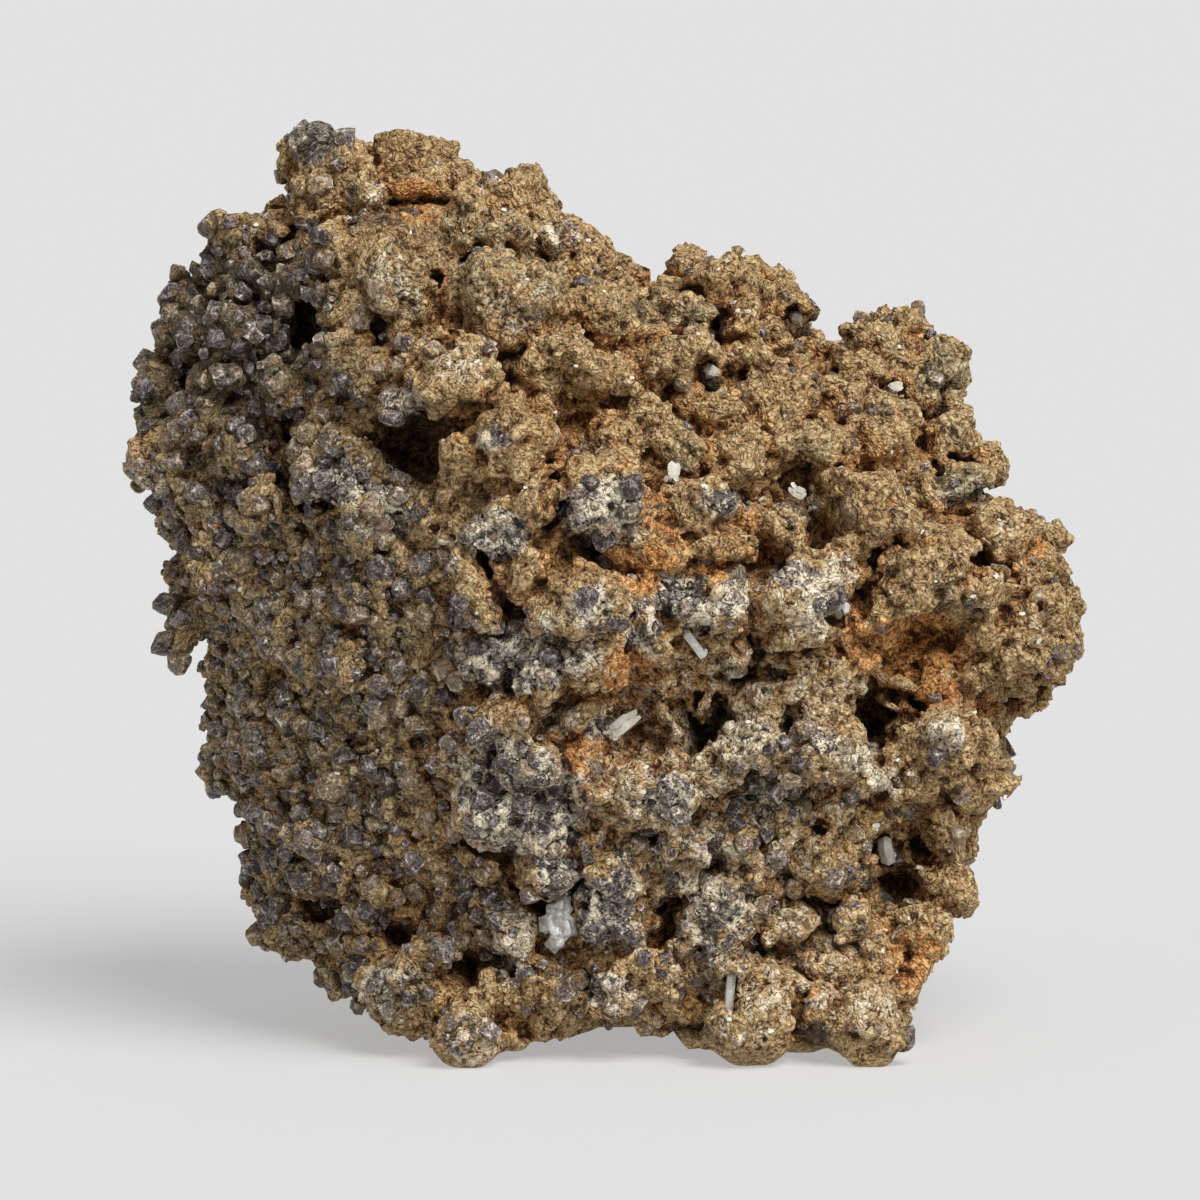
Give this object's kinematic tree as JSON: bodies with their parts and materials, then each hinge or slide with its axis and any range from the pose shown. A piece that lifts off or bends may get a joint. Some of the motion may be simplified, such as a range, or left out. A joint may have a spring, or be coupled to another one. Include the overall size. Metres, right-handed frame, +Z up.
{
  "type": "albite specimen with siderite and quartz",
  "caption": "Knobbly free-standing lump of albite crust studded with siderite rhombs, with small quartz and clean albite crystals set in it.",
  "frame": {"origin": "on the ground under the middle of the specimen's box", "axes": "+X to the right across the broad face, +Y away from the viewer of that face, +Z up"},
  "size_m": [0.1179, 0.0764, 0.1144],
  "materials": {
    "albite_crust": "granular buff to ochre albite crust with rusty hollows and satin grey-brown siderite rhombs",
    "clean_albite": "pale translucent white cleavage faces with a pearly gloss",
    "quartz": "colourless to milky, glassy, see-through crystal"
  },
  "bodies": {
    "root": {"matrix": "albite_crust", "albite_blade": "clean_albite", "albite_tablet_top": "clean_albite", "albite_tablet_mid": "clean_albite", "albite_tablet_right": "clean_albite", "quartz_cluster": "quartz", "quartz_prism_low": "quartz", "quartz_prism_mid": "quartz", "quartz_point_top": "quartz", "quartz_point_hollow": "quartz", "quartz_point_right": "quartz", "quartz_point_edge": "quartz"}
  },
  "joints": []
}
